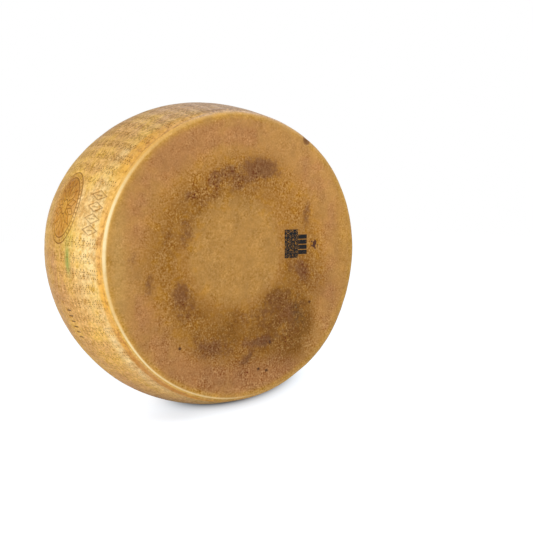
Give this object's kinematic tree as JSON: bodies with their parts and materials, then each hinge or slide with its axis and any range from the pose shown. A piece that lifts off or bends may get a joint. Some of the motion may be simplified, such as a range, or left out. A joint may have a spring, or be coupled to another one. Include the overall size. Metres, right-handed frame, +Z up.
{
  "type": "parmesan cheese wheel",
  "caption": "Whole wheel of hard aged cheese with a bulging side and rounded rims, standing upright on a small flat of its curved side.",
  "frame": {"origin": "on the floor under the middle of the wheel's box", "axes": "+Z up; the wheel's axis lies along Y and the shown face looks toward -Y; +X is to the right of that face"},
  "size_m": [0.4358, 0.2328, 0.4326],
  "materials": {
    "rind": "matte, oiled cheese rind"
  },
  "bodies": {
    "root": {"cheese_wheel": "rind"}
  },
  "joints": []
}
